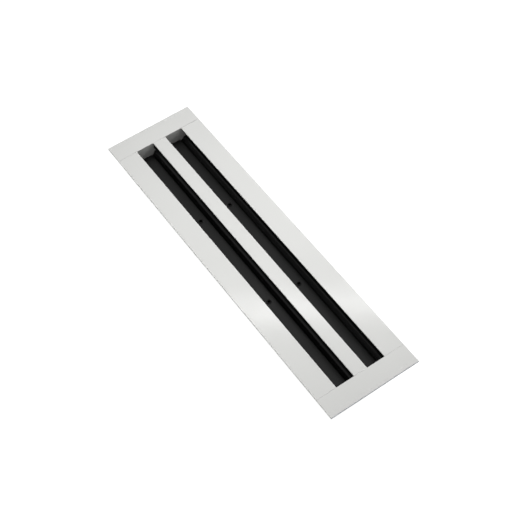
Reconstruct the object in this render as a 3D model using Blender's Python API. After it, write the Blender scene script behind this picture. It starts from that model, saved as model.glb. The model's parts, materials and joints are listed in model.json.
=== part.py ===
"""Two-slot linear air diffuser: white flanged frame, black adjustable blades and vanes, and their hardware.

X runs along the slots, Y across them and Z up out of the face. The origin is under the middle of the
body, at the height of its lowest edge, so that the diffuser lies on its back with its face up.
"""

import math

import bmesh
import bpy
from mathutils import Matrix

MM = 0.001
GAP = 0.3 * MM  # clearance between pieces that touch
CUT_PAST = 1.0 * MM  # how far a cutter runs past the wall it pierces

# Driving dimensions of the face
FACE_LENGTH = 395.0 * MM
SLOT_LENGTH = 350.0 * MM
SLOT_WIDTH = 20.0 * MM
BAR_WIDTH = 15.0 * MM
FLANGE_WIDTH = 22.5 * MM
BODY_DEPTH = 45.0 * MM

# Sheet and extrusion thicknesses
FLANGE_THICK = 1.5 * MM
LIP_DEPTH = 2.0 * MM
LIP_THICK = 1.2 * MM
EDGE_RADIUS = 0.4 * MM
UNDERCUT = 0.8 * MM  # bevel under the edges that face a slot
WEB_THICK = 1.5 * MM
WEB_SETBACK = 7.0 * MM  # from the slot's edge to the web's inner face
RAIL_THICK = 1.2 * MM
CAP_PLATE_THICK = 1.5 * MM
CAP_CORNER_RADIUS = 1.5 * MM

# Ledges that hold the cross bars, as depths below the face
LEDGE_REACH = 3.0 * MM
LEDGE_THICK = 1.2 * MM
BAR_TOP = 23.6 * MM
BAR_THICK = 2.4 * MM
BAR_HALF_WIDTH = 5.0 * MM

# Screw ports: open rings in the extrusions, as depths below the face
PORT_BORE = 1.6 * MM
PORT_RADIUS = 2.7 * MM
PORT_MOUTH = math.radians(35.0)
SIDE_PORT_INSET = 2.1 * MM  # from the web's inner face to the port's axis
SIDE_PORT_DEPTHS = (4.9 * MM, 41.0 * MM)
RAIL_PORT_DEPTHS = (17.5 * MM, 41.0 * MM)

# Centre rail's head, groove and web
HEAD_HALF_TOP = 7.2 * MM
HEAD_SHOULDER_DEPTH = 3.8 * MM
HEAD_HALF_WIDTH = 7.3 * MM
HEAD_BEAD = (7.35 * MM, 6.2 * MM)  # half width to its axis, and depth
HEAD_BEAD_RADIUS = 0.5 * MM
GROOVE_HALF = 2.9 * MM
GROOVE_DEPTH = 5.0 * MM
RAIL_WEB_HALF = 1.0 * MM
STEM_HALF = 2.6 * MM
STEM_THICK = 1.2 * MM
STEM_DEPTH = 4.4 * MM

# Flat blade: a shallow channel that slides across its slot
PLATE_WIDTH = 14.8 * MM
PLATE_MIDDLES = {"left": 9.2 * MM, "right": 9.7 * MM}  # from the slot's left edge, as set
PLATE_DEPTH = 15.5 * MM
PLATE_THICK = 0.8 * MM
PLATE_SKIRT = 1.1 * MM
PLATE_BEND = 0.9 * MM
END_PLAY = 0.6 * MM  # blade's end to the end cap
HOLE_STATIONS = {"far": -68.0 * MM, "near": 54.0 * MM}

# Deflector vane, which tilts about a bead along its lower edge
PIVOT_OFFSET = 15.4 * MM  # from the slot's left edge
PIVOT_DEPTH = 20.5 * MM
BEAD_RADIUS = 1.8 * MM
BEAD_BORE = 1.1 * MM
LEG_LENGTH = 8.6 * MM
LEAF_THICK = 0.9 * MM
CURL_RADIUS = 2.2 * MM  # of the leaf's outer face
CURL_ANGLE = math.radians(40.0)
TOE_LENGTH = 1.8 * MM
LEFT_TILT = math.radians(61.0)
RIGHT_TILT = math.radians(43.0)

# Pivot pins
PIN_RADIUS = 0.8 * MM
PIN_HEAD_RADIUS = 1.8 * MM
PIN_HEAD_THICK = 0.8 * MM
PIN_REACH = 8.0 * MM  # into the bead
PIN_HOLE = PIN_RADIUS + GAP

# Eyelets and slide shoes
EYELET_BORE = 1.5 * MM
EYELET_RADIUS = 1.85 * MM
EYELET_RIM = 2.5 * MM
EYELET_RIM_THICK = 0.4 * MM
EYELET_LENGTH = 4.6 * MM
EYELET_HOLE = EYELET_RADIUS + GAP
SHOE_HALF_LENGTH = 7.5 * MM
SHOE_HALF_WIDTH = 3.1 * MM
SHOE_HOOK_HALF = 3.2 * MM
SHOE_HOOK_THICK = 1.5 * MM

# Tie rod across the three profiles
TIE_STATION = 0.0 * MM
TIE_DEPTH = 32.0 * MM
TIE_RADIUS = 2.0 * MM
TIE_HOLE = TIE_RADIUS + GAP
TIE_END = 1.0 * MM  # rod past the nut
SPACER_RADIUS = 3.3 * MM
NUT_ACROSS_FLATS = 7.0 * MM
NUT_THICK = 2.4 * MM
NUT_CHAMFER = 0.35 * MM

# Self-tapping screws of the end caps
SCREW_RADIUS = 1.3 * MM
SCREW_LENGTH = 12.0 * MM
SCREW_TIP = 1.5 * MM
SCREW_TIP_RADIUS = 0.5 * MM
SCREW_HOLE = 1.7 * MM
SCREW_HEAD_RADIUS = 2.9 * MM
SCREW_HEAD_THICK = 2.0 * MM
SCREW_DOME = 0.8 * MM
RECESS_DEPTH = 1.1 * MM
RECESS_HALF_LENGTH = 1.5 * MM
RECESS_HALF_WIDTH = 0.35 * MM

# Round shapes' fineness
ROUND_SIDES = 20
SMALL_SIDES = 14
ARC_STEPS = 5
EDGE_STEPS = 3
LEAF_STEPS = 8
SMOOTH_ANGLE = math.radians(35.0)

# Values worked out from the ones above
FACE_WIDTH = 2 * FLANGE_WIDTH + 2 * SLOT_WIDTH + BAR_WIDTH
HALF_WIDTH = FACE_WIDTH / 2
HALF_LENGTH = FACE_LENGTH / 2
HALF_SLOT = SLOT_LENGTH / 2
SLOT_OUTER = BAR_WIDTH / 2 + SLOT_WIDTH
WEB_INNER = SLOT_OUTER + WEB_SETBACK
WEB_OUTER = WEB_INNER + WEB_THICK
PROFILE_END = HALF_SLOT - GAP / 2
CAP_INNER = HALF_SLOT + GAP / 2
CAP_OUTER = CAP_INNER + CAP_PLATE_THICK
SLOT_LEFT_EDGES = {"left": -SLOT_OUTER, "right": BAR_WIDTH / 2}
TILTS = {"left": LEFT_TILT, "right": RIGHT_TILT}
ENDS = {"far": -1, "near": 1}
SIDES = {"left": -1, "right": 1}


def height(depth):
    """World height of a point that lies that far below the face."""
    return BODY_DEPTH - depth


# Outlines -------------------------------------------------------------------------------------------------


def arc(center, radius, start, stop, steps=ARC_STEPS):
    """Points along an arc, both ends included; angles in radians."""
    return [
        (
            center[0] + radius * math.cos(start + (stop - start) * k / steps),
            center[1] + radius * math.sin(start + (stop - start) * k / steps),
        )
        for k in range(steps + 1)
    ]


def circle(center, radius, sides=SMALL_SIDES):
    """Points round a full circle."""
    return arc(center, radius, 0.0, 2 * math.pi, sides)[:-1]


def rectangle(low, high):
    """Four corners from two opposite ones."""
    return [low, (high[0], low[1]), high, (low[0], high[1])]


def port(center, root):
    """Outline of a screw port that grows from a wall on its +first side, from below to above.

    The ring is open towards the other side, and root is half the angle over which it joins the wall.
    """
    mouth = math.pi - PORT_MOUTH
    return (
        arc(center, PORT_RADIUS, -root, -mouth)
        + arc(center, PORT_BORE, -mouth, mouth, 2 * ARC_STEPS)
        + arc(center, PORT_RADIUS, mouth, root)
    )


def ledges(wall, reach):
    """Two ledges on a wall, from below to above, with a groove for a cross bar's end between them."""
    groove_bottom = height(BAR_TOP + BAR_THICK + GAP)
    groove_top = height(BAR_TOP - GAP)
    return [
        (wall, groove_bottom - LEDGE_THICK),
        (reach, groove_bottom - LEDGE_THICK),
        (reach, groove_bottom),
        (wall, groove_bottom),
        (wall, groove_top),
        (reach, groove_top),
        (reach, groove_top + LEDGE_THICK),
        (wall, groove_top + LEDGE_THICK),
    ]


def side_frame_outline():
    """Flange, lip, web, two screw ports and the bar ledges, for the side where Y is positive."""
    top = height(0.0)
    under = height(FLANGE_THICK)
    port_axis = WEB_INNER - SIDE_PORT_INSET
    root = math.acos(SIDE_PORT_INSET / PORT_RADIUS)
    upper, lower = SIDE_PORT_DEPTHS
    slot_corner = (SLOT_OUTER + EDGE_RADIUS, top - EDGE_RADIUS)
    outer_corner = (HALF_WIDTH - EDGE_RADIUS, top - EDGE_RADIUS)
    outline = [(SLOT_OUTER + UNDERCUT, under), (SLOT_OUTER, under + UNDERCUT)]
    outline += arc(slot_corner, EDGE_RADIUS, math.pi, math.pi / 2, EDGE_STEPS)
    outline += arc(outer_corner, EDGE_RADIUS, math.pi / 2, 0.0, EDGE_STEPS)
    outline += [(HALF_WIDTH, height(LIP_DEPTH)), (HALF_WIDTH - LIP_THICK, height(LIP_DEPTH))]
    outline += [(HALF_WIDTH - LIP_THICK, under), (WEB_OUTER, under)]
    outline += [(WEB_OUTER, 0.0), (WEB_INNER, 0.0)]
    outline += port((port_axis, height(lower)), root)
    outline += ledges(WEB_INNER, WEB_INNER - LEDGE_REACH)
    outline += port((port_axis, height(upper)), root)
    outline += [(WEB_INNER, under)]
    return outline


def cover_strip_outline():
    """White strip with rounded edges and two legs underneath."""
    half = BAR_WIDTH / 2
    top = height(0.0)
    under = height(FLANGE_THICK)
    foot = height(STEM_DEPTH)
    inner = STEM_HALF - STEM_THICK
    corner = (half - EDGE_RADIUS, top - EDGE_RADIUS)
    right = arc(corner, EDGE_RADIUS, math.pi / 2, 0.0, EDGE_STEPS)
    right += [(half, under + UNDERCUT), (half - UNDERCUT, under), (STEM_HALF, under)]
    right += [(STEM_HALF, foot), (inner, foot), (inner, under)]
    return right + mirrored(right)


def mirrored(points):
    """The same points on the other side of the second axis, in the order that closes the outline."""
    return [(-y, z) for y, z in reversed(points)]


def rail_head():
    """Right side of the rail's head, from its groove's floor round to its web."""
    top = height(FLANGE_THICK + GAP)
    under = top - RAIL_THICK
    floor = height(GROOVE_DEPTH)
    neck = GROOVE_HALF + RAIL_THICK
    shoulder = height(HEAD_SHOULDER_DEPTH)
    step = HEAD_HALF_WIDTH - HEAD_HALF_TOP
    inside = HEAD_HALF_WIDTH - RAIL_THICK
    bead = (HEAD_BEAD[0], height(HEAD_BEAD[1]))
    meets = math.acos((HEAD_HALF_WIDTH - HEAD_BEAD[0]) / HEAD_BEAD_RADIUS)
    foot = bead[1] - HEAD_BEAD_RADIUS
    outline = [(GROOVE_HALF, floor), (GROOVE_HALF, top), (HEAD_HALF_TOP, top)]
    outline += [(HEAD_HALF_TOP, shoulder), (HEAD_HALF_WIDTH, shoulder - step)]
    outline += arc(bead, HEAD_BEAD_RADIUS, meets, -math.pi / 2, 2 * ARC_STEPS)
    outline += [(inside, foot), (inside, shoulder - step), (inside - step, under)]
    outline += [(neck, under), (neck, floor - RAIL_THICK), (RAIL_WEB_HALF, floor - RAIL_THICK)]
    return outline


def rail_outline():
    """Head like an umbrella with a groove in its top, one web, two ports on it and the bar ledges."""
    root = math.asin(RAIL_WEB_HALF / PORT_RADIUS)
    head = rail_head()
    steps = ledges(RAIL_WEB_HALF, RAIL_WEB_HALF + LEDGE_REACH)[::-1]
    upper, lower = (height(depth) for depth in RAIL_PORT_DEPTHS)
    below = -math.pi / 2 - root
    above = -3 * math.pi / 2 + root
    right = head + open_ring((0.0, upper), root) + steps + open_ring((0.0, lower), root)
    right += [(RAIL_WEB_HALF, 0.0), (-RAIL_WEB_HALF, 0.0)]
    left = arc((0.0, lower), PORT_RADIUS, below, above, 2 * ARC_STEPS)
    left += mirrored(steps)
    left += arc((0.0, upper), PORT_RADIUS, below, above, 2 * ARC_STEPS)
    return right + left + mirrored(head)


def open_ring(center, root):
    """Right side of a screw port in line with a web, from above to below, with its mouth to the right."""
    quarter = math.pi / 2
    return (
        arc(center, PORT_RADIUS, quarter - root, PORT_MOUTH, EDGE_STEPS)
        + arc(center, PORT_BORE, PORT_MOUTH, 2 * math.pi - PORT_MOUTH, 2 * ARC_STEPS)
        + arc(center, PORT_RADIUS, -PORT_MOUTH, root - quarter, EDGE_STEPS)
    )


def pattern_plate_outline():
    """Shallow channel, open below, about its own middle in Y and its own top in Z."""
    half = PLATE_WIDTH / 2
    inner = PLATE_BEND - PLATE_THICK
    corner = (half - PLATE_BEND, -PLATE_BEND)
    right = arc(corner, PLATE_BEND, math.pi / 2, 0.0)
    right += [(half, -PLATE_SKIRT), (half - PLATE_THICK, -PLATE_SKIRT)]
    right += arc(corner, inner, 0.0, math.pi / 2, EDGE_STEPS)
    return right + mirrored(right)


def deflector_outline():
    """Bead about the origin, leg along the first axis, a curl away from its outer face and a round toe."""
    half = LEAF_THICK / 2
    root = math.asin(half / BEAD_RADIUS)
    curl = (LEG_LENGTH, half - CURL_RADIUS)
    upright = math.pi / 2
    spent = upright - CURL_ANGLE
    middle = CURL_RADIUS - half
    toe = (
        curl[0] + middle * math.sin(CURL_ANGLE) + TOE_LENGTH * math.cos(CURL_ANGLE),
        curl[1] + middle * math.cos(CURL_ANGLE) - TOE_LENGTH * math.sin(CURL_ANGLE),
    )
    outline = arc((0.0, 0.0), BEAD_RADIUS, -root, root - 2 * math.pi, ROUND_SIDES)
    outline += arc(curl, CURL_RADIUS, upright, spent, LEAF_STEPS)
    outline += arc(toe, half, spent, spent - math.pi)
    outline += arc(curl, CURL_RADIUS - LEAF_THICK, spent, upright, LEAF_STEPS)
    return outline


def shoe_outline():
    """Block that wraps round a cross bar, as (along the slot, height)."""
    top = height(PLATE_DEPTH + PLATE_THICK + GAP)
    grip_top = height(BAR_TOP - GAP)
    grip_bottom = height(BAR_TOP + BAR_THICK + GAP)
    foot = grip_bottom - SHOE_HOOK_THICK
    grip = BAR_HALF_WIDTH + GAP
    right = [
        (SHOE_HALF_LENGTH, top),
        (SHOE_HALF_LENGTH, foot),
        (SHOE_HOOK_HALF, foot),
        (SHOE_HOOK_HALF, grip_bottom),
        (grip, grip_bottom),
        (grip, grip_top),
    ]
    return right + mirrored(right)


# Solids ---------------------------------------------------------------------------------------------------


AXES = {
    "x": Matrix(((0, 0, 1, 0), (1, 0, 0, 0), (0, 1, 0, 0), (0, 0, 0, 1))),  # outline is (y, z)
    "y": Matrix(((1, 0, 0, 0), (0, 0, 1, 0), (0, 1, 0, 0), (0, 0, 0, 1))),  # outline is (x, z)
    "z": Matrix.Identity(4),  # outline is (x, y)
}


def prism(outline, axis, start, stop, holes=()):
    """Closed solid with that outline and those holes, running along an axis from start to stop."""
    bm = bmesh.new()
    for loop in (outline, *holes):
        corners = [bm.verts.new((u, v, start)) for u, v in loop]
        for corner, following in zip(corners, corners[1:] + corners[:1]):
            bm.edges.new((corner, following))
    bmesh.ops.triangle_fill(bm, use_beauty=True, edges=bm.edges[:])
    grown = bmesh.ops.extrude_face_region(bm, geom=bm.faces[:], use_keep_orig=True)
    moved = [item for item in grown["geom"] if isinstance(item, bmesh.types.BMVert)]
    bmesh.ops.translate(bm, verts=moved, vec=(0.0, 0.0, stop - start))
    bmesh.ops.transform(bm, matrix=AXES[axis], verts=bm.verts[:])
    bmesh.ops.recalc_face_normals(bm, faces=bm.faces[:])
    return bm


def turned(profile, sides):
    """Closed ring or rod along X from an outline of (distance along X, radius)."""
    bm = bmesh.new()
    points = [bm.verts.new((x, radius, 0.0)) for x, radius in profile]
    edges = [bm.edges.new(pair) for pair in zip(points, points[1:])]
    if profile[0][1] > 0.0:
        edges.append(bm.edges.new((points[-1], points[0])))
    bmesh.ops.spin(bm, geom=edges, axis=(1, 0, 0), cent=(0, 0, 0), steps=sides, angle=2 * math.pi,
                   use_merge=True)
    bmesh.ops.remove_doubles(bm, verts=bm.verts[:], dist=MM / 1000)
    bmesh.ops.recalc_face_normals(bm, faces=bm.faces[:])
    return bm


def to_mesh(bm, name):
    """Mesh data from a bmesh, which is freed."""
    mesh = bpy.data.meshes.new(name)
    bm.to_mesh(mesh)
    bm.free()
    return mesh


def place(name, mesh, finish, location=(0.0, 0.0, 0.0), parent=None):
    """Named object in the scene with one material, shaded smooth where its faces meet gently."""
    piece = bpy.data.objects.new(name, mesh)
    bpy.context.scene.collection.objects.link(piece)
    if not mesh.materials:
        mesh.materials.append(finish)
        mesh.shade_smooth()
        mesh.set_sharp_from_angle(angle=SMOOTH_ANGLE)
    piece.location = location
    piece.parent = parent
    return piece


def combined(mesh, tool, operation):
    """Result of a Boolean between two bmeshes, as mesh data; the tool is used up."""
    base_piece = bpy.data.objects.new("base", mesh)
    tool_piece = bpy.data.objects.new("tool", to_mesh(tool, "tool"))
    for piece in (base_piece, tool_piece):
        bpy.context.scene.collection.objects.link(piece)
    modifier = base_piece.modifiers.new("shape", "BOOLEAN")
    modifier.operation = operation
    modifier.object = tool_piece
    depsgraph = bpy.context.evaluated_depsgraph_get()
    result = bpy.data.meshes.new_from_object(base_piece.evaluated_get(depsgraph))
    result.name = mesh.name
    for piece in (base_piece, tool_piece):
        spare = piece.data
        bpy.data.objects.remove(piece)
        bpy.data.meshes.remove(spare)
    return result


def cylinder(axis, center, radius, start, stop):
    """Round bar along an axis about a center in the outline's own two directions."""
    return prism(circle(center, radius, ROUND_SIDES), axis, start, stop)


# Materials ------------------------------------------------------------------------------------------------


def material(name, color, roughness, metallic=0.0):
    """Principled surface."""
    surface = bpy.data.materials.new(name)
    surface.use_nodes = True
    shader = surface.node_tree.nodes["Principled BSDF"]
    shader.inputs["Base Color"].default_value = (*color, 1.0)
    shader.inputs["Roughness"].default_value = roughness
    shader.inputs["Metallic"].default_value = metallic
    surface.diffuse_color = (*color, 1.0)
    return surface


def make_materials():
    """Every finish on the diffuser by name."""
    return {
        "white_paint": material("white_paint", (0.74, 0.75, 0.73), 0.35),
        "black_paint": material("black_paint", (0.012, 0.012, 0.012), 0.42),
        "black_nylon": material("black_nylon", (0.02, 0.02, 0.02), 0.55),
        "zinc_steel": material("zinc_steel", (0.56, 0.57, 0.58), 0.32, 1.0),
        "bare_aluminium": material("bare_aluminium", (0.68, 0.69, 0.70), 0.38, 1.0),
    }


# Pieces ---------------------------------------------------------------------------------------------------


def make_side_frames(paint):
    """Two long profiles, each with a hole for the tie rod."""
    for side, sign in SIDES.items():
        outline = [(sign * y, z) for y, z in side_frame_outline()]
        body = to_mesh(prism(outline, "x", -PROFILE_END, PROFILE_END), f"side_frame_{side}")
        start = sign * (WEB_INNER - CUT_PAST)
        stop = sign * (WEB_OUTER + CUT_PAST)
        hole = cylinder("y", (TIE_STATION, height(TIE_DEPTH)), TIE_HOLE, start, stop)
        place(f"side_frame_{side}", combined(body, hole, "DIFFERENCE"), paint)


def make_cover_strip(paint):
    """White strip between the slots."""
    body = prism(cover_strip_outline(), "x", -PROFILE_END, PROFILE_END)
    place("centre_cover_strip", to_mesh(body, "centre_cover_strip"), paint)


def make_centre_rail(paint):
    """Black rail that carries the strip, with a hole for the tie rod."""
    body = to_mesh(prism(rail_outline(), "x", -PROFILE_END, PROFILE_END), "centre_rail")
    reach = RAIL_WEB_HALF + CUT_PAST
    hole = cylinder("y", (TIE_STATION, height(TIE_DEPTH)), TIE_HOLE, -reach, reach)
    place("centre_rail", combined(body, hole, "DIFFERENCE"), paint)


def screw_seats():
    """(label, y, height) of the six screws in each end cap."""
    port_axis = WEB_INNER - SIDE_PORT_INSET
    seats = []
    for level, side_depth, rail_depth in zip(("upper", "lower"), SIDE_PORT_DEPTHS, RAIL_PORT_DEPTHS):
        seats.append((f"left_{level}", -port_axis, height(side_depth)))
        seats.append((f"middle_{level}", 0.0, height(rail_depth)))
        seats.append((f"right_{level}", port_axis, height(side_depth)))
    return seats


def pivots():
    """(side, y, height) of each vane's axis."""
    return [(side, edge + PIVOT_OFFSET, height(PIVOT_DEPTH)) for side, edge in SLOT_LEFT_EDGES.items()]


def end_cap_flange(sign):
    """Flange of an end cap: a tray upside down, open at the seam, with rounded outer edges."""
    seam = sign * CAP_INNER
    end = sign * HALF_LENGTH
    open_end = seam - sign * CUT_PAST
    bm = prism(rectangle((seam, -HALF_WIDTH), (end, HALF_WIDTH)), "z", height(LIP_DEPTH), height(0.0))
    rounded = [
        edge
        for edge in bm.edges
        if all(vert.co.z > height(FLANGE_THICK) for vert in edge.verts)
        and sum(abs(vert.co.x - seam) for vert in edge.verts) > LIP_THICK
        and len({round(face.normal.z) for face in edge.link_faces}) > 1
    ]
    bmesh.ops.bevel(bm, geom=rounded, offset=EDGE_RADIUS, segments=EDGE_STEPS, profile=0.5, affect="EDGES")
    recess = rectangle(
        (open_end, LIP_THICK - HALF_WIDTH),
        (end - sign * LIP_THICK, HALF_WIDTH - LIP_THICK),
    )
    below = prism(recess, "z", height(LIP_DEPTH + CUT_PAST), height(FLANGE_THICK))
    return combined(to_mesh(bm, "flange"), below, "DIFFERENCE")


def end_cap_plate(sign):
    """Plate across the profiles' ends, with holes for the screws and pivot pins."""
    low = CAP_CORNER_RADIUS
    side = WEB_OUTER - CAP_CORNER_RADIUS
    top = height(FLANGE_THICK / 2)  # inside the flange, so that the two join
    outline = [(WEB_OUTER, top), (-WEB_OUTER, top)]
    outline += arc((-side, low), CAP_CORNER_RADIUS, math.pi, 1.5 * math.pi)
    outline += arc((side, low), CAP_CORNER_RADIUS, 1.5 * math.pi, 2 * math.pi)
    holes = [circle((y, z), SCREW_HOLE) for _, y, z in screw_seats()]
    holes += [circle((y, z), PIN_HOLE) for _, y, z in pivots()]
    return prism(outline, "x", sign * CAP_INNER, sign * CAP_OUTER, holes)


def make_end_caps(paint):
    """Flange and plate as one pressed part at each end."""
    for end, sign in ENDS.items():
        body = combined(end_cap_flange(sign), end_cap_plate(sign), "UNION")
        body.name = f"end_cap_{end}"
        place(f"end_cap_{end}", body, paint)


def plate_middle(side):
    """Y of a flat blade's middle."""
    return SLOT_LEFT_EDGES[side] + PLATE_MIDDLES[side]


def make_pattern_plates(paint):
    """Flat blades, each with two holes for its eyelets, and the empties on their slides' lines."""
    half = HALF_SLOT - END_PLAY
    body = to_mesh(prism(pattern_plate_outline(), "x", -half, half), "pattern_plate")
    for station in HOLE_STATIONS.values():
        hole = cylinder("z", (station, 0.0), EYELET_HOLE, -PLATE_THICK - CUT_PAST, CUT_PAST)
        body = combined(body, hole, "DIFFERENCE")
    carriers = {}
    for side in SIDES:
        carriers[side] = bpy.data.objects.new(f"slide_{side}", None)
        bpy.context.scene.collection.objects.link(carriers[side])
        carriers[side].location = (0.0, plate_middle(side), height(PLATE_DEPTH))
        place(f"pattern_plate_{side}", body, paint, parent=carriers[side])
    return carriers


def make_eyelets(paint, carriers):
    """Hollow rivets that fix the flat blades to their shoes."""
    under = -GAP - PLATE_THICK - EYELET_LENGTH
    rim = GAP + EYELET_RIM_THICK
    profile = [
        (under, EYELET_BORE),
        (under, EYELET_RADIUS),
        (GAP, EYELET_RADIUS),
        (GAP, EYELET_RIM),
        (rim - EYELET_RIM_THICK / 2, EYELET_RIM),
        (rim, (EYELET_RIM + EYELET_BORE) / 2),
        (rim, EYELET_BORE + EYELET_RIM_THICK / 2),
        (rim - EYELET_RIM_THICK / 2, EYELET_BORE),
    ]
    bm = turned(profile, SMALL_SIDES)
    bmesh.ops.rotate(bm, verts=bm.verts[:], cent=(0, 0, 0), matrix=Matrix.Rotation(-math.pi / 2, 3, "Y"))
    body = to_mesh(bm, "plate_eyelet")
    for side, carrier in carriers.items():
        for end, station in HOLE_STATIONS.items():
            place(f"plate_eyelet_{side}_{end}", body, paint, (station, 0.0, 0.0), carrier)


def make_slide_shoes(nylon, carriers):
    """Blocks under the flat blades that slide along the cross bars."""
    body = to_mesh(prism(shoe_outline(), "y", -SHOE_HALF_WIDTH, SHOE_HALF_WIDTH), "slide_shoe")
    bore = cylinder("z", (0.0, 0.0), EYELET_HOLE, height(BAR_TOP), height(PLATE_DEPTH))
    body = combined(body, bore, "DIFFERENCE")
    for side, carrier in carriers.items():
        for end, station in HOLE_STATIONS.items():
            place(f"slide_shoe_{side}_{end}", body, nylon, (station, 0.0, -height(PLATE_DEPTH)), carrier)


def make_cross_bars(paint):
    """Flat bars across each slot, held in the ledges' grooves."""
    span = rectangle(
        (-BAR_HALF_WIDTH, RAIL_WEB_HALF + GAP),
        (BAR_HALF_WIDTH, WEB_INNER - GAP),
    )
    for side, sign in SIDES.items():
        outline = [(x, sign * y) for x, y in span]
        body = to_mesh(prism(outline, "z", height(BAR_TOP + BAR_THICK), height(BAR_TOP)), "cross_bar")
        for end, station in HOLE_STATIONS.items():
            place(f"cross_bar_{side}_{end}", body, paint, (station, 0.0, 0.0))


def make_deflectors(paint):
    """Vanes, each with its origin on its axis and turned to its own tilt."""
    half = HALF_SLOT - END_PLAY
    bore = circle((0.0, 0.0), BEAD_BORE)
    body = to_mesh(prism(deflector_outline(), "x", -half, half, [bore]), "deflector")
    for side, y, z in pivots():
        blade = place(f"deflector_{side}", body, paint, (0.0, y, z))
        blade.rotation_euler.x = TILTS[side]


def make_pivot_pins(steel):
    """Headed pins through the end caps into the vanes' beads."""
    tip = HALF_SLOT - END_PLAY - PIN_REACH
    seat = CAP_OUTER + GAP
    profile = [
        (tip, 0.0),
        (tip, PIN_RADIUS - GAP),
        (tip + GAP, PIN_RADIUS),
        (seat, PIN_RADIUS),
        (seat, PIN_HEAD_RADIUS),
        (seat + PIN_HEAD_THICK / 2, PIN_HEAD_RADIUS),
        (seat + PIN_HEAD_THICK, PIN_HEAD_RADIUS / 2),
        (seat + PIN_HEAD_THICK, 0.0),
    ]
    body = to_mesh(turned(profile, SMALL_SIDES), "pivot_pin")
    for side, y, z in pivots():
        for end, sign in ENDS.items():
            pin = place(f"pivot_pin_{side}_{end}", body, steel, (0.0, y, z))
            pin.rotation_euler.z = 0.0 if sign > 0 else math.pi


def make_tie(steel, aluminium):
    """Rod through the three profiles, a spacer tube in each slot and a nut at each end."""
    seat = WEB_OUTER + GAP
    level = height(TIE_DEPTH)
    reach = seat + NUT_THICK + TIE_END
    rod = cylinder("y", (TIE_STATION, level), TIE_RADIUS, -reach, reach)
    place("tie_rod", to_mesh(rod, "tie_rod"), steel)
    bore = circle((TIE_STATION, level), TIE_HOLE, ROUND_SIDES)
    tube = circle((TIE_STATION, level), SPACER_RADIUS, ROUND_SIDES)
    for side, sign in SIDES.items():
        inner = sign * (RAIL_WEB_HALF + GAP)
        outer = sign * (WEB_INNER - GAP)
        spacer = prism(tube, "y", inner, outer, [bore])
        place(f"tie_spacer_{side}", to_mesh(spacer, "tie_spacer"), aluminium)
        nut = make_nut(sign * seat, sign * (seat + NUT_THICK), level)
        place(f"tie_nut_{side}", nut, steel)


def make_nut(start, stop, level):
    """Hexagonal nut along Y with its outer corners chamfered by a shallow cone."""
    corner = NUT_ACROSS_FLATS / math.sqrt(3)
    hexagon = circle((TIE_STATION, level), corner, 6)
    bore = circle((TIE_STATION, level), TIE_HOLE, ROUND_SIDES)
    body = to_mesh(prism(hexagon, "y", start, stop, [bore]), "tie_nut")
    way = math.copysign(1.0, stop)
    flats = NUT_ACROSS_FLATS / 2
    profile = [
        (start - way * CUT_PAST, corner + CUT_PAST),
        (stop - way * NUT_CHAMFER, corner),
        (stop, flats - NUT_CHAMFER / 2),
        (stop + way * CUT_PAST, 0.0),
        (start - way * CUT_PAST, 0.0),
    ]
    cone = turned(profile, ROUND_SIDES)
    bmesh.ops.rotate(cone, verts=cone.verts[:], cent=(0, 0, 0), matrix=Matrix.Rotation(math.pi / 2, 3, "Z"))
    bmesh.ops.translate(cone, verts=cone.verts[:], vec=(TIE_STATION, 0.0, level))
    return combined(body, cone, "INTERSECT")


def make_cap_screws(steel):
    """Pan-head self-tapping screws through the end caps into the ports."""
    seat = CAP_OUTER + GAP
    tip = CAP_OUTER - SCREW_LENGTH
    crown = seat + SCREW_HEAD_THICK
    profile = [(tip, 0.0), (tip, SCREW_TIP_RADIUS), (tip + SCREW_TIP, SCREW_RADIUS)]
    profile += [(seat, SCREW_RADIUS), (seat, SCREW_HEAD_RADIUS), (crown - SCREW_DOME, SCREW_HEAD_RADIUS)]
    profile += [(crown - SCREW_DOME / 3, SCREW_HEAD_RADIUS - SCREW_DOME / 2)]
    profile += [(crown, SCREW_HEAD_RADIUS - 2 * SCREW_DOME), (crown, 0.0)]
    body = to_mesh(turned(profile, SMALL_SIDES), "cap_screw")
    cross = prism(cross_outline(), "x", crown - RECESS_DEPTH, crown + RECESS_DEPTH)
    body = combined(body, cross, "DIFFERENCE")
    for end, sign in ENDS.items():
        for label, y, z in screw_seats():
            screw = place(f"cap_screw_{end}_{label}", body, steel, (0.0, y, z))
            screw.rotation_euler.z = 0.0 if sign > 0 else math.pi


def cross_outline():
    """Plus-shaped outline of a screw's recess."""
    long, short = RECESS_HALF_LENGTH, RECESS_HALF_WIDTH
    quarter = [(long, -short), (long, short), (short, short)]
    points = []
    for _ in range(4):
        points += quarter
        quarter = [(-v, u) for u, v in quarter]
    return points


def main():
    """Clears the scene and builds the diffuser."""
    for item in list(bpy.data.objects):
        bpy.data.objects.remove(item)
    finish = make_materials()
    make_side_frames(finish["white_paint"])
    make_cover_strip(finish["white_paint"])
    make_centre_rail(finish["black_paint"])
    make_end_caps(finish["white_paint"])
    carriers = make_pattern_plates(finish["black_paint"])
    make_eyelets(finish["black_paint"], carriers)
    make_slide_shoes(finish["black_nylon"], carriers)
    make_cross_bars(finish["black_paint"])
    make_deflectors(finish["black_paint"])
    make_pivot_pins(finish["zinc_steel"])
    make_tie(finish["zinc_steel"], finish["bare_aluminium"])
    make_cap_screws(finish["zinc_steel"])


main()
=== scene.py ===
"""Finished look of the two-slot linear air diffuser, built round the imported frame.

X runs along the slots, Y across them and Z up out of the face, in metres. The diffuser lies on its back on a
pale floor. Every visible piece is made here from its frame node's own shape or box, and rides on its body.
"""

import json
import math

import bmesh
import bpy
from mathutils import Matrix, Vector


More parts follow.
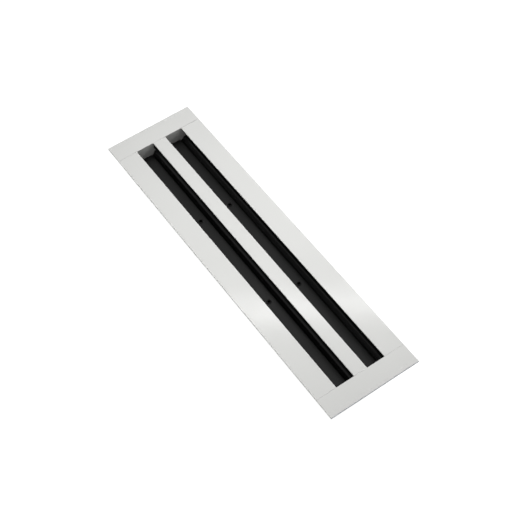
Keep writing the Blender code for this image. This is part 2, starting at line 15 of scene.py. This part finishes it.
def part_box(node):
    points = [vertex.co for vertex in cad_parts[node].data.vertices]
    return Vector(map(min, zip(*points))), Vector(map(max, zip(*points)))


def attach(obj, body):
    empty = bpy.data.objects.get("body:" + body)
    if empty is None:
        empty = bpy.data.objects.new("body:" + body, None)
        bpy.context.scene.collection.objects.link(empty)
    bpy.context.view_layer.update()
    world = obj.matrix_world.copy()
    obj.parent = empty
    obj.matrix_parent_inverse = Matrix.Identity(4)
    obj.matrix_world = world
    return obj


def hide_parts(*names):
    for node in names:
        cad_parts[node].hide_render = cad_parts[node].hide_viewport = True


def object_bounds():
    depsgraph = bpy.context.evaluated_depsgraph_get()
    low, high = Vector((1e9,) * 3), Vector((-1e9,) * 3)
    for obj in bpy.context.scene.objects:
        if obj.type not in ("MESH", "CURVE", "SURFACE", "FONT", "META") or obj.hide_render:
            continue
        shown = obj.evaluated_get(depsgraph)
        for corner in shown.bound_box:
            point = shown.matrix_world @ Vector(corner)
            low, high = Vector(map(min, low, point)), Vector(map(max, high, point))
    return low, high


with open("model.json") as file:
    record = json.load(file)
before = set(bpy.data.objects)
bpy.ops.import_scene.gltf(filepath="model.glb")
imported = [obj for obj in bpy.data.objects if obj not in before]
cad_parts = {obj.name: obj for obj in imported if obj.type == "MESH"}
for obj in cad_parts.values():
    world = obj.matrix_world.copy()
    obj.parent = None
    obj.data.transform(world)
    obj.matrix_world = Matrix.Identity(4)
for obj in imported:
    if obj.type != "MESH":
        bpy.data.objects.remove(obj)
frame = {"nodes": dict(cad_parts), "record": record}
cad_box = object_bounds()

MM = 0.001

# Camera
CAMERA_AT = (0.59163, -0.33910, 0.97626)
CAMERA_RIGHT = Vector((0.56904, 0.82090, -0.04805))
CAMERA_AHEAD = Vector((-0.49541, 0.29560, -0.81682))
CAMERA_LENS = 79.34

# Lights and floor
WORLD_STRENGTH = 0.44
SOFTBOX_AT = (-0.08, 1.5, 1.3)
SOFTBOX_AIM = (-0.01, -0.03, 0.045)
SOFTBOX_SIZE = 0.3
SOFTBOX_POWER = 1.4
SOFTBOX_SPREAD = math.radians(30.0)
STRIP_AT = (-0.417, 0.339, 0.976)
STRIP_RUN = (0.50, 0.866, 0.0)
STRIP_LENGTH = 1.3
STRIP_WIDTH = 0.05
STRIP_POWER = 1.0
FLOOR_HALF = 20.0
FLOOR_DROP = 0.2 * MM
FLOOR_WHITE = 0.3
FLOOR_GLOW = 0.9
FLOOR_ROUGHNESS = 0.9
FLOOR_SHADE = 0.02
NECK_INSET = 14.5 * MM  # from the flange's outer edge in to the neck's

# Patterns
NOISE_RANGE = (0.3, 0.7)  # where most of a noise's values lie
PATCH_RANGE = (0.4, 0.65)
EDGE_RANGE = (0.80, 0.99)  # cosine between a rounded edge's normal and the face's own
EDGE_SAMPLES = 4

# Paint
WHITE = (0.600, 0.602, 0.588)
WHITE_ROUGHNESS = 0.11
# Painted shade: the outer sides of the necks and end-cap plates get the white darkened to this share of the
# face's, so they show darker than the light from the right leaves them
NECK_SHADE = 0.76  # of the face's whiteness, on the neck's outer side
# Painted shade: blue-grey put on the end caps' outer rim faces so the lip shows as a darker line
LIP_SHADE = (0.27, 0.28, 0.32)
BLACK = (0.0025, 0.0025, 0.0026)
BLACK_ROUGHNESS = 0.40
BLACK_SPECULAR = 0.45
RAIL_SPECULAR = 0.15

# Seams and edges
SEAM = 0.3 * MM
SEAM_CLOSED_NEAR = 0.23 * MM  # how far each profile reaches into its seam
SEAM_CLOSED_FAR = 0.14 * MM
COAT_DEPTH = 1.6 * MM  # below the face, where the side frames' white coat ends on the inner side
FLANGE_DEPTH = 3.0 * MM  # below the face, where only the neck is left
SHEET_EDGE = 0.12 * MM
MOULDED_EDGE = 0.3 * MM
SHARP_ANGLE = math.radians(30.0)
FLAT_ANGLE = math.radians(0.5)

# Fasteners
SIDES = 32
DOME_STEPS = 6
ROUND_STEPS = 3
THREAD_STEPS = 6  # rings in each turn of a thread
SHANK_CORE = 0.95 * MM
SHANK_CREST = 1.3 * MM
SHANK_PITCH = 1.1 * MM
SHANK_POINT = 1.8 * MM
POINT_RADIUS = 0.3 * MM
HEAD_DEPTH = 2.0 * MM
HEAD_RIM = 0.9 * MM
HEAD_FLAT = 0.4  # of the head's radius
RECESS_DEPTH = 1.2 * MM
RECESS_REACH = 1.55 * MM
RECESS_HALF = 0.42 * MM
RECESS_FLOOR = 0.45  # of its size at the top
PIN_SHANK = 0.8 * MM
PIN_HEAD = 0.8 * MM
PIN_POINT = 0.3 * MM
ROD_CORE = 1.72 * MM
ROD_PITCH = 0.7 * MM
ROD_THREADED = 9.0 * MM
ROD_CHAMFER = 0.4 * MM
NUT_BORE = 2.1 * MM
NUT_CHAMFER = 0.5 * MM
NUT_SIDES = 72
TUBE_BORE = 2.3 * MM
TUBE_EDGE = 0.25 * MM
RIM_THICK = 0.4 * MM
EYELET_BORE = 1.5 * MM
EYELET_WALL = 0.35 * MM


# Materials ------------------------------------------------------------------------------------------------


class Surface:
    """A Principled material whose patterns are read in the diffuser's own metres."""

    def __init__(self, name, color, roughness, metallic=0.0):
        self.material = bpy.data.materials.new(name)
        self.material.use_nodes = True
        self.material.diffuse_color = (*color, 1.0)
        self.tree = self.material.node_tree
        self.shader = self.tree.nodes["Principled BSDF"]
        self.shader.inputs["Base Color"].default_value = (*color, 1.0)
        self.shader.inputs["Roughness"].default_value = roughness
        self.shader.inputs["Metallic"].default_value = metallic
        self.place = self.add("ShaderNodeTexCoord").outputs["Object"]
        self.tone = None
        self.gloss = None
        self.relief = None

    def add(self, kind, **settings):
        """New node with those properties."""
        node = self.tree.nodes.new(kind)
        for key, value in settings.items():
            setattr(node, key, value)
        return node

    def link(self, source, target):
        """Joins two sockets."""
        self.tree.links.new(source, target)

    def noise(self, scale, stretch=(1.0, 1.0, 1.0), detail=2.0):
        """Noise of that many features a metre, drawn out along an axis where its stretch is small."""
        mapping = self.add("ShaderNodeMapping")
        mapping.inputs["Scale"].default_value = stretch
        self.link(self.place, mapping.inputs["Vector"])
        noise = self.add("ShaderNodeTexNoise")
        noise.inputs["Scale"].default_value = scale
        noise.inputs["Detail"].default_value = detail
        self.link(mapping.outputs["Vector"], noise.inputs["Vector"])
        return noise.outputs["Fac"]

    def spread(self, source, low, high, covered=NOISE_RANGE):
        """The covered range of the source as values from low to high."""
        node = self.add("ShaderNodeMapRange")
        node.inputs["From Min"].default_value = covered[0]
        node.inputs["From Max"].default_value = covered[1]
        node.inputs["To Min"].default_value = low
        node.inputs["To Max"].default_value = high
        self.link(source, node.inputs["Value"])
        return node.outputs["Result"]

    def tint(self, source, dark, light):
        """Base colour between two colours."""
        ramp = self.add("ShaderNodeValToRGB")
        for element, position, color in zip(ramp.color_ramp.elements, NOISE_RANGE, (dark, light)):
            element.position = position
            element.color = (*color, 1.0)
        self.link(source, ramp.inputs["Fac"])
        self.tone = ramp.outputs["Color"]
        self.link(self.tone, self.shader.inputs["Base Color"])

    def roughen(self, source, middle, swing):
        """Roughness that varies with the source by that much either way."""
        self.gloss = self.spread(source, middle - swing, middle + swing)
        self.link(self.gloss, self.shader.inputs["Roughness"])

    def bump(self, source, depth):
        """Relief of that depth in metres; calls add up."""
        bump = self.add("ShaderNodeBump")
        bump.inputs["Strength"].default_value = 1.0
        bump.inputs["Distance"].default_value = depth
        self.link(source, bump.inputs["Height"])
        if self.relief is not None:
            self.link(self.relief, bump.inputs["Normal"])
        self.relief = bump.outputs["Normal"]
        self.link(self.relief, self.shader.inputs["Normal"])

    def edge_wear_and_highlight(self, color, roughness, width, patches):
        """Colour and roughness that show through in patches along edges, up to that far from them."""
        bevel = self.add("ShaderNodeBevel", samples=EDGE_SAMPLES)
        bevel.inputs["Radius"].default_value = width
        facing = self.add("ShaderNodeNewGeometry")
        compare = self.add("ShaderNodeVectorMath", operation="DOT_PRODUCT")
        self.link(bevel.outputs["Normal"], compare.inputs[0])
        self.link(facing.outputs["Normal"], compare.inputs[1])
        share = self.add("ShaderNodeMath", operation="MULTIPLY")
        self.link(self.spread(compare.outputs["Value"], 1.0, 0.0, EDGE_RANGE), share.inputs[0])
        self.link(self.spread(patches, 0.0, 1.0, PATCH_RANGE), share.inputs[1])
        blend = self.add("ShaderNodeMix", data_type="RGBA")
        self.link(share.outputs["Value"], blend.inputs[0])
        self.link(self.tone, blend.inputs[6])
        blend.inputs[7].default_value = (*color, 1.0)
        self.link(blend.outputs[2], self.shader.inputs["Base Color"])
        polish = self.add("ShaderNodeMix", data_type="FLOAT")
        self.link(share.outputs["Value"], polish.inputs[0])
        self.link(self.gloss, polish.inputs[2])
        polish.inputs[3].default_value = roughness
        self.link(polish.outputs[0], self.shader.inputs["Roughness"])


def scaled(color, factor):
    """A colour made lighter or darker."""
    return tuple(channel * factor for channel in color)


def white_paint(name, color):
    """Satin white powder coat with a faint orange peel; along its edges it is glossier and, as a painted
    highlight, lighter in patches.
    """
    surface = Surface(name, color, WHITE_ROUGHNESS)
    surface.tint(surface.noise(scale=14.0, detail=3.0), scaled(color, 0.985), scaled(color, 1.01))
    surface.roughen(surface.noise(scale=60.0), middle=WHITE_ROUGHNESS, swing=0.02)
    surface.bump(surface.noise(scale=450.0, detail=1.0), depth=0.012 * MM)
    surface.bump(surface.noise(scale=4000.0, detail=1.0), depth=0.001 * MM)
    patches = surface.noise(scale=220.0, detail=4.0)
    # Painted highlight: the white turns lighter in patches along the edges, where it is also glossier
    surface.edge_wear_and_highlight(scaled(color, 1.2), roughness=0.16, width=0.4 * MM, patches=patches)
    return surface.material


def lip_shade_paint():
    """Painted shade: blue-grey for the end caps' thin outer rim faces, so they show darker than the white
    they are, with faint streaks.
    """
    surface = Surface("painted_shade_lip", LIP_SHADE, WHITE_ROUGHNESS)
    surface.tint(surface.noise(scale=90.0, detail=3.0), scaled(LIP_SHADE, 0.9), scaled(LIP_SHADE, 1.1))
    surface.roughen(surface.noise(scale=300.0), middle=0.35, swing=0.06)
    surface.bump(surface.noise(scale=1500.0, stretch=(1.0, 0.05, 1.0)), depth=0.003 * MM)
    return surface.material


def black_paint(name, specular):
    """Satin black coat on an extrusion, with its draw lines along X and rubbed edges."""
    surface = Surface(name, BLACK, BLACK_ROUGHNESS)
    surface.shader.inputs["Specular IOR Level"].default_value = specular
    surface.tint(surface.noise(scale=30.0, detail=4.0), scaled(BLACK, 0.85), scaled(BLACK, 1.2))
    surface.roughen(surface.noise(scale=120.0, stretch=(0.15, 1.0, 1.0)), middle=BLACK_ROUGHNESS, swing=0.04)
    surface.bump(surface.noise(scale=900.0, stretch=(0.008, 1.0, 1.0)), depth=0.002 * MM)
    surface.bump(surface.noise(scale=2600.0, detail=1.0), depth=0.0015 * MM)
    patches = surface.noise(scale=160.0, stretch=(0.3, 1.0, 1.0), detail=4.0)
    surface.edge_wear_and_highlight(scaled(BLACK, 3.0), roughness=0.3, width=0.2 * MM, patches=patches)
    return surface.material


def black_nylon():
    """Moulded nylon with a fine spark-eroded grain, rubbed smooth along its edges."""
    color = (0.016, 0.016, 0.017)
    surface = Surface("black_moulded_nylon", color, 0.55)
    surface.tint(surface.noise(scale=80.0), scaled(color, 0.8), scaled(color, 1.25))
    surface.roughen(surface.noise(scale=400.0), middle=0.54, swing=0.06)
    surface.bump(surface.noise(scale=3000.0, detail=3.0), depth=0.012 * MM)
    patches = surface.noise(scale=300.0, detail=3.0)
    surface.edge_wear_and_highlight(scaled(color, 1.8), roughness=0.38, width=0.4 * MM, patches=patches)
    return surface.material


def zinc_steel():
    """Bright zinc plate, slightly blue, with small spangles and polished edges."""
    color = (0.60, 0.62, 0.65)
    surface = Surface("bright_zinc_steel", color, 0.28, 1.0)
    surface.tint(surface.noise(scale=350.0, detail=4.0), (0.52, 0.54, 0.56), (0.68, 0.69, 0.71))
    surface.roughen(surface.noise(scale=500.0), middle=0.30, swing=0.08)
    surface.bump(surface.noise(scale=5000.0), depth=0.002 * MM)
    patches = surface.noise(scale=600.0, detail=3.0)
    surface.edge_wear_and_highlight((0.78, 0.78, 0.78), roughness=0.18, width=0.15 * MM, patches=patches)
    return surface.material


def bare_aluminium():
    """Mill-finish tube with draw lines along Y and bright cut ends."""
    color = (0.70, 0.71, 0.72)
    surface = Surface("mill_aluminium", color, 0.34, 1.0)
    surface.tint(surface.noise(scale=200.0, stretch=(1.0, 0.05, 1.0)), (0.62, 0.63, 0.64), (0.74, 0.75, 0.76))
    surface.roughen(surface.noise(scale=900.0, stretch=(1.0, 0.02, 1.0)), middle=0.35, swing=0.07)
    surface.bump(surface.noise(scale=1600.0, stretch=(1.0, 0.01, 1.0)), depth=0.003 * MM)
    patches = surface.noise(scale=500.0, detail=3.0)
    surface.edge_wear_and_highlight((0.82, 0.82, 0.83), roughness=0.2, width=0.3 * MM, patches=patches)
    return surface.material


def floor_white():
    """Matt white, lit evenly from within like a light table."""
    surface = Surface("floor_white", (FLOOR_WHITE,) * 3, FLOOR_ROUGHNESS)
    surface.shader.inputs["Emission Color"].default_value = (1.0, 1.0, 1.0, 1.0)
    surface.shader.inputs["Emission Strength"].default_value = FLOOR_GLOW
    return surface.material


def floor_shade():
    """Matt dark grey for the part of the floor that the neck closes off."""
    return Surface("floor_shade", (FLOOR_SHADE,) * 3, FLOOR_ROUGHNESS).material


FINISHES = {
    "white_paint": white_paint("white_powder_coat", WHITE),
    "black_paint": black_paint("black_powder_coat", BLACK_SPECULAR),
    "black_nylon": black_nylon(),
    "zinc_steel": zinc_steel(),
    "bare_aluminium": bare_aluminium(),
}
SLOTS = {item["node"]: item["material_slot"] for item in frame["record"]["subparts"]}
BODIES = {
    node: body
    for body, nodes in frame["record"]["behaviour"]["bodies"].items()
    for node in nodes
}


# Shapes ---------------------------------------------------------------------------------------------------


def node_shape(node):
    """A frame node's solid with its flat faces whole again."""
    bm = bmesh.new()
    bm.from_mesh(frame["nodes"][node].data)
    bmesh.ops.remove_doubles(bm, verts=bm.verts[:], dist=MM / 1000)
    bmesh.ops.dissolve_limit(bm, angle_limit=FLAT_ANGLE, verts=bm.verts[:], edges=bm.edges[:])
    return bm


def soften(bm, width, segments=2):
    """Rounds every sharp edge by that width."""
    sharp = [edge for edge in bm.edges if edge.is_manifold and edge.calc_face_angle() > SHARP_ANGLE]
    bmesh.ops.bevel(
        bm,
        geom=sharp,
        offset=width,
        segments=segments,
        profile=0.5,
        affect="EDGES",
        clamp_overlap=True,
        loop_slide=True,
    )


def to_mesh(bm, name):
    """Smooth-shaded mesh data from a bmesh, which is freed."""
    mesh = bpy.data.meshes.new(name)
    bm.to_mesh(mesh)
    bm.free()
    mesh.shade_smooth()
    mesh.set_sharp_from_angle(angle=SHARP_ANGLE + FLAT_ANGLE)
    return mesh


def show(name, mesh, node, placement=None):
    """Puts a finished shape in the place of a frame node, in that node's finish and on its body."""
    if not mesh.materials:
        mesh.materials.append(FINISHES[SLOTS[node]])
    piece = bpy.data.objects.new(name, mesh)
    bpy.context.scene.collection.objects.link(piece)
    if placement is not None:
        piece.matrix_world = placement
    normals = piece.modifiers.new("face normals", "WEIGHTED_NORMAL")
    normals.keep_sharp = True
    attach(piece, BODIES[node])
    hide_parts(node)


def nodes_named(*starts):
    """Frame nodes whose names begin with one of those, in the record's order."""
    return [node for node in SLOTS if node.startswith(starts)]


def blended(points, width):
    """A closed outline with each corner cut back by up to that width and rounded."""
    result = []
    for k, point in enumerate(points):
        corner = Vector(point)
        before = Vector(points[k - 1]) - corner
        after = Vector(points[(k + 1) % len(points)]) - corner
        start = corner + before.normalized() * min(width, before.length / 2)
        stop = corner + after.normalized() * min(width, after.length / 2)
        for step in range(ROUND_STEPS + 1):
            share = step / ROUND_STEPS
            result.append(tuple(start.lerp(corner, share).lerp(corner.lerp(stop, share), share)))
    return result


def revolved(stations, sides=SIDES, hollow=False):
    """Solid about X from (distance along X, radius) rings; a radius may be a function of the angle.

    A hollow one joins its last ring to its first, and any other is closed by flat ends.
    """
    bm = bmesh.new()
    angles = [2 * math.pi * k / sides for k in range(sides)]
    rings = []
    for x, radius in stations:
        ring = []
        for angle in angles:
            size = radius(angle) if callable(radius) else radius
            ring.append(bm.verts.new((x, size * math.cos(angle), size * math.sin(angle))))
        rings.append(ring)
    following = rings[1:] + rings[:1] if hollow else rings[1:]
    for ring, other in zip(rings, following):
        for k in range(sides):
            bm.faces.new((ring[k - 1], ring[k], other[k], other[k - 1]))
    if not hollow:
        bm.faces.new(rings[0])
        bm.faces.new(rings[-1])
    bmesh.ops.remove_doubles(bm, verts=bm.verts[:], dist=MM / 1000)
    bmesh.ops.recalc_face_normals(bm, faces=bm.faces[:])
    return bm


def ridge(turns, low, high):
    """Radius by angle at a point that many turns along a thread."""

    def radius(angle):
        phase = (turns - angle / (2 * math.pi)) % 1.0
        return low + (high - low) * (1.0 - abs(2 * phase - 1.0))

    return radius


def thread(start, stop, pitch, core, crest, narrow=0.0):
    """Rings of a V thread between two distances, whose first stretch of that length narrows to a point."""
    count = round((stop - start) / pitch * THREAD_STEPS)
    rings = []
    for k in range(count + 1):
        x = start + (stop - start) * k / count
        share = min(1.0, (x - start) / narrow) if narrow else 1.0
        low = POINT_RADIUS + (core - POINT_RADIUS) * share
        high = POINT_RADIUS + (crest - POINT_RADIUS) * share
        rings.append((x, ridge(x / pitch, low, high)))
    return rings


def hexagon(flats, limit):
    """Radius by angle of a hexagon that wide across its flats, no more than the limit."""
    sector = math.pi / 3

    def radius(angle):
        return min(flats / 2 / math.cos(angle % sector - sector / 2), limit)

    return radius


def cross_cutter(top):
    """Cross-shaped solid along X that narrows downwards from just above that distance."""
    bm = bmesh.new()
    quarter = [(RECESS_REACH, -RECESS_HALF), (RECESS_REACH, RECESS_HALF), (RECESS_HALF, RECESS_HALF)]
    outline = []
    for _ in range(4):
        outline += quarter
        quarter = [(-v, u) for u, v in quarter]
    above = [bm.verts.new((top + RECESS_DEPTH, 2 * u, 2 * v)) for u, v in outline]
    level = [bm.verts.new((top, u, v)) for u, v in outline]
    below = [bm.verts.new((top - RECESS_DEPTH, u * RECESS_FLOOR, v * RECESS_FLOOR)) for u, v in outline]
    for upper, lower in ((above, level), (level, below)):
        for k in range(len(outline)):
            bm.faces.new((upper[k - 1], upper[k], lower[k], lower[k - 1]))
    bm.faces.new(above)
    bm.faces.new(below)
    bmesh.ops.recalc_face_normals(bm, faces=bm.faces[:])
    return bm


def cut(solid, tool, name):
    """Mesh data of one solid less another; both are used up."""
    body, cutter = (bpy.data.objects.new(name, to_mesh(bm, name)) for bm in (solid, tool))
    for piece in (body, cutter):
        bpy.context.scene.collection.objects.link(piece)
    modifier = body.modifiers.new("cut", "BOOLEAN")
    modifier.object = cutter
    result = bmesh.new()
    result.from_object(body, bpy.context.evaluated_depsgraph_get())
    for piece in (body, cutter):
        spare = piece.data
        bpy.data.objects.remove(piece)
        bpy.data.meshes.remove(spare)
    return to_mesh(result, name)


def seated(node, axis, way=1.0):
    """Placement for a shape made from the origin along X: it fills the node's box along that world axis."""
    low, high = (Vector(corner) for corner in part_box(node))
    start = (low + high) / 2
    start[axis] = low[axis] if way > 0 else high[axis]
    direction = Vector((0.0, 0.0, 0.0))
    direction[axis] = way
    turn = Vector((1.0, 0.0, 0.0)).rotation_difference(direction)
    return Matrix.Translation(start) @ turn.to_matrix().to_4x4()


def extent(node):
    """Size of a node's box along X, Y and Z."""
    low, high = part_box(node)
    return Vector(high) - Vector(low)


# Profiles and sheet parts ---------------------------------------------------------------------------------


def close_seams(bm):
    """Moves both ends of a profile along X into their seams."""
    near = max(vert.co.x for vert in bm.verts)
    for vert in bm.verts:
        if near - abs(vert.co.x) < SEAM:
            vert.co.x += SEAM_CLOSED_NEAR if vert.co.x > 0 else -SEAM_CLOSED_FAR


def coat_and_shade_frame(bm):
    """Gives a side frame's web the second material on its inner side, and the third on its outer side: white
    darkened as painted shade.
    """
    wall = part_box("cross_bar_right_far")[1][1] + SEAM
    top = cad_box[1][2]
    for face in bm.faces:
        middle = face.calc_center_median()
        if abs(middle.y) < wall + SHEET_EDGE:
            if middle.z < top - COAT_DEPTH:
                face.material_index = 1
        elif middle.z < top - FLANGE_DEPTH:
            face.material_index = 2


def shade_end_cap(bm):
    """Gives an end cap's outer rim faces the second material and its plate's outer side the third; both are
    painted shade.
    """
    reach = cad_box[1][0]
    neck_top = cad_box[1][2] - FLANGE_DEPTH
    for face in bm.faces:
        middle = face.calc_center_median()
        if reach - abs(middle.x) < SHEET_EDGE / 2:
            face.material_index = 1
        elif middle.z < neck_top and face.normal.x * middle.x > 0:
            face.material_index = 2


def dress_coated():
    """Side frames, strip, rail and end caps, with fine edges and close seams."""
    black = FINISHES["black_paint"]
    white = FINISHES["white_paint"]
    matt = black_paint("matt_black_coat", RAIL_SPECULAR)
    # Painted shade: a darker copy of the white for the outer sides of the necks and end-cap plates
    neck_shade_white = white_paint("painted_shade_neck_white", scaled(WHITE, NECK_SHADE))
    for start, finishes_and_shades, coat in (
        ("side_frame", (white, black, neck_shade_white), coat_and_shade_frame),
        ("centre_cover_strip", (white,), None),
        ("centre_rail", (matt,), None),
        ("end_cap", (white, lip_shade_paint(), neck_shade_white), shade_end_cap),
    ):
        for node in nodes_named(start):
            bm = node_shape(node)
            if start != "end_cap":
                close_seams(bm)
            soften(bm, SHEET_EDGE)
            if coat:
                coat(bm)
            mesh = to_mesh(bm, node)
            for material in finishes_and_shades:
                mesh.materials.append(material)
            show(f"{node}_coated", mesh, node)


def dress_plain(width, segments, *starts):
    """Pieces that only need rounded edges."""
    for node in nodes_named(*starts):
        bm = node_shape(node)
        soften(bm, width, segments)
        show(f"{node}_finished", to_mesh(bm, node), node)


# Fasteners ------------------------------------------------------------------------------------------------


def dome(start, rise, foot, flat):
    """Rings of a rounded crown that rises that far from one radius to a smaller one."""
    rings = []
    for k in range(1, DOME_STEPS + 1):
        angle = math.pi / 2 * k / DOME_STEPS
        rings.append((start + rise * math.sin(angle), flat + (foot - flat) * math.cos(angle)))
    return rings


def make_cap_screws():
    """Pan-head self-tapping screws, all of one shape, with their tips towards the middle."""
    nodes = nodes_named("cap_screw")
    size = extent(nodes[0])
    head = size.y / 2
    seat = size.x - HEAD_DEPTH
    stations = thread(0.0, seat - SHANK_PITCH / 2, SHANK_PITCH, SHANK_CORE, SHANK_CREST, SHANK_POINT)
    rim = seat + HEAD_RIM
    stations += [(seat - SHANK_PITCH / 4, SHANK_CORE), (seat, SHANK_CREST), (seat, head), (rim, head)]
    stations += dome(rim, size.x - rim, head, head * HEAD_FLAT)
    mesh = cut(revolved(stations), cross_cutter(size.x), "cap_screw")
    for node in nodes:
        way = math.copysign(1.0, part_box(node)[0][0])
        show(f"{node}_threaded", mesh, node, seated(node, 0, way))


def make_pivot_pins():
    """Pins with domed heads and chamfered tips, all of one shape."""
    nodes = nodes_named("pivot_pin")
    size = extent(nodes[0])
    head = size.y / 2
    seat = size.x - PIN_HEAD
    rim = seat + PIN_HEAD / 3
    stations = [(0.0, PIN_SHANK - PIN_POINT), (PIN_POINT, PIN_SHANK), (seat, PIN_SHANK)]
    stations += [(seat, head), (rim, head)]
    stations += dome(rim, size.x - rim, head, head * HEAD_FLAT)
    mesh = to_mesh(revolved(stations), "pivot_pin")
    for node in nodes:
        way = math.copysign(1.0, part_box(node)[0][0])
        show(f"{node}_domed", mesh, node, seated(node, 0, way))


def make_tie_rod():
    """Rod with a machine thread at each end."""
    size = extent("tie_rod")
    length = size.y
    radius = size.z / 2
    tip = ROD_CORE - ROD_CHAMFER / 2
    plain = ROD_THREADED + ROD_PITCH / 2
    stations = [(0.0, tip)] + thread(ROD_CHAMFER, ROD_THREADED, ROD_PITCH, ROD_CORE, radius)
    stations += [(plain, radius), (length - plain, radius)]
    stations += thread(length - ROD_THREADED, length - ROD_CHAMFER, ROD_PITCH, ROD_CORE, radius)
    stations += [(length, tip)]
    show("tie_rod_threaded", to_mesh(revolved(stations), "tie_rod"), "tie_rod", seated("tie_rod", 1))


def make_tie_nuts():
    """Hexagonal nuts chamfered on both faces, with countersunk bores."""
    for node in nodes_named("tie_nut"):
        size = extent(node)
        flats = size.z
        rise = flats / math.sqrt(3) - flats / 2
        stations = [(0.0, NUT_BORE + NUT_CHAMFER / 2)]
        for k in range(DOME_STEPS + 1):
            share = k / DOME_STEPS
            stations.append((NUT_CHAMFER * share, hexagon(flats, flats / 2 + rise * share)))
        stations += [(size.y - x, radius) for x, radius in reversed(stations)]
        stations += [(size.y - NUT_CHAMFER / 2, NUT_BORE), (NUT_CHAMFER / 2, NUT_BORE)]
        mesh = to_mesh(revolved(stations, NUT_SIDES, hollow=True), node)
        show(f"{node}_chamfered", mesh, node, seated(node, 1))


def make_tie_spacers():
    """Cut tubes with broken edges."""
    for node in nodes_named("tie_spacer"):
        size = extent(node)
        outline = [(0.0, TUBE_BORE), (0.0, size.z / 2), (size.y, size.z / 2), (size.y, TUBE_BORE)]
        mesh = to_mesh(revolved(blended(outline, TUBE_EDGE), hollow=True), node)
        show(f"{node}_tube", mesh, node, seated(node, 1))


def make_eyelets():
    """Hollow rivets with rolled rims, all of one shape."""
    nodes = nodes_named("plate_eyelet")
    size = extent(nodes[0])
    rim = size.y / 2
    wall = EYELET_BORE + EYELET_WALL
    under = size.z - RIM_THICK
    brow = size.z - RIM_THICK / 2
    outline = [(0.0, EYELET_BORE), (0.0, wall), (under, wall), (under, rim), (brow, rim)]
    outline += [(size.z, (rim + EYELET_BORE) / 2), (size.z, EYELET_BORE + RIM_THICK / 2), (brow, EYELET_BORE)]
    mesh = to_mesh(revolved(blended(outline, RIM_THICK / 2), hollow=True), "plate_eyelet")
    for node in nodes:
        show(f"{node}_rolled", mesh, node, seated(node, 2))


# Stage ----------------------------------------------------------------------------------------------------


def make_floor():
    """Large pale floor under the diffuser, with its shaded middle inside the neck."""
    low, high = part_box("centre_rail")
    edge = cad_box[1][1] - NECK_INSET
    xs = (-FLOOR_HALF, low[0], high[0], FLOOR_HALF)
    ys = (-FLOOR_HALF, -edge, edge, FLOOR_HALF)
    corners = [(x, y, -FLOOR_DROP) for y in ys for x in xs]
    faces = [
        (row * 4 + column, row * 4 + column + 1, row * 4 + column + 5, row * 4 + column + 4)
        for row in range(3)
        for column in range(3)
    ]
    mesh = bpy.data.meshes.new("floor")
    mesh.from_pydata(corners, [], faces)
    mesh.materials.append(floor_white())
    mesh.materials.append(floor_shade())
    mesh.polygons[len(faces) // 2].material_index = 1
    floor = bpy.data.objects.new("floor", mesh)
    bpy.context.scene.collection.objects.link(floor)


def area_light(name, place, size, power, run=(1.0, 0.0, 0.0), aim=(0.0, 0.0, 0.0)):
    """Rectangular light at a place above the diffuser, turned towards aim, with its first side along run."""
    light = bpy.data.lights.new(name, "AREA")
    light.shape = "RECTANGLE"
    light.size, light.size_y = size
    light.energy = power
    lamp = bpy.data.objects.new(name, light)
    bpy.context.scene.collection.objects.link(lamp)
    back = (Vector(place) - Vector(aim)).normalized()
    side = (Vector(run) - Vector(run).dot(back) * back).normalized()
    up = back.cross(side)
    turn = Matrix((side, up, back)).transposed()
    lamp.matrix_world = Matrix.Translation(place) @ turn.to_4x4()
    return light


def make_lights():
    """Even white surroundings, a soft light from the right and a long strip for the sheen on the face."""
    world = bpy.data.worlds.new("studio")
    bpy.context.scene.world = world
    world.use_nodes = True
    background = world.node_tree.nodes["Background"]
    background.inputs["Color"].default_value = (1.0, 1.0, 1.0, 1.0)
    background.inputs["Strength"].default_value = WORLD_STRENGTH
    softbox = area_light("softbox", SOFTBOX_AT, (SOFTBOX_SIZE, SOFTBOX_SIZE), SOFTBOX_POWER, aim=SOFTBOX_AIM)
    softbox.spread = SOFTBOX_SPREAD
    area_light("strip", STRIP_AT, (STRIP_LENGTH, STRIP_WIDTH), STRIP_POWER, STRIP_RUN)


def make_camera():
    """Camera high over the near left of the face."""
    data = bpy.data.cameras.new("camera")
    data.lens = CAMERA_LENS
    camera = bpy.data.objects.new("camera", data)
    bpy.context.scene.collection.objects.link(camera)
    back = -CAMERA_AHEAD
    up = back.cross(CAMERA_RIGHT)
    turn = Matrix((CAMERA_RIGHT, up, back)).transposed()
    camera.matrix_world = Matrix.Translation(CAMERA_AT) @ turn.to_4x4()
    bpy.context.scene.camera = camera


bpy.context.scene.view_settings.view_transform = "Standard"
make_camera()
dress_coated()
dress_plain(SHEET_EDGE, 2, "pattern_plate", "deflector", "cross_bar")
dress_plain(MOULDED_EDGE, 3, "slide_shoe")
make_cap_screws()
make_pivot_pins()
make_tie_rod()
make_tie_nuts()
make_tie_spacers()
make_eyelets()
make_floor()
make_lights()
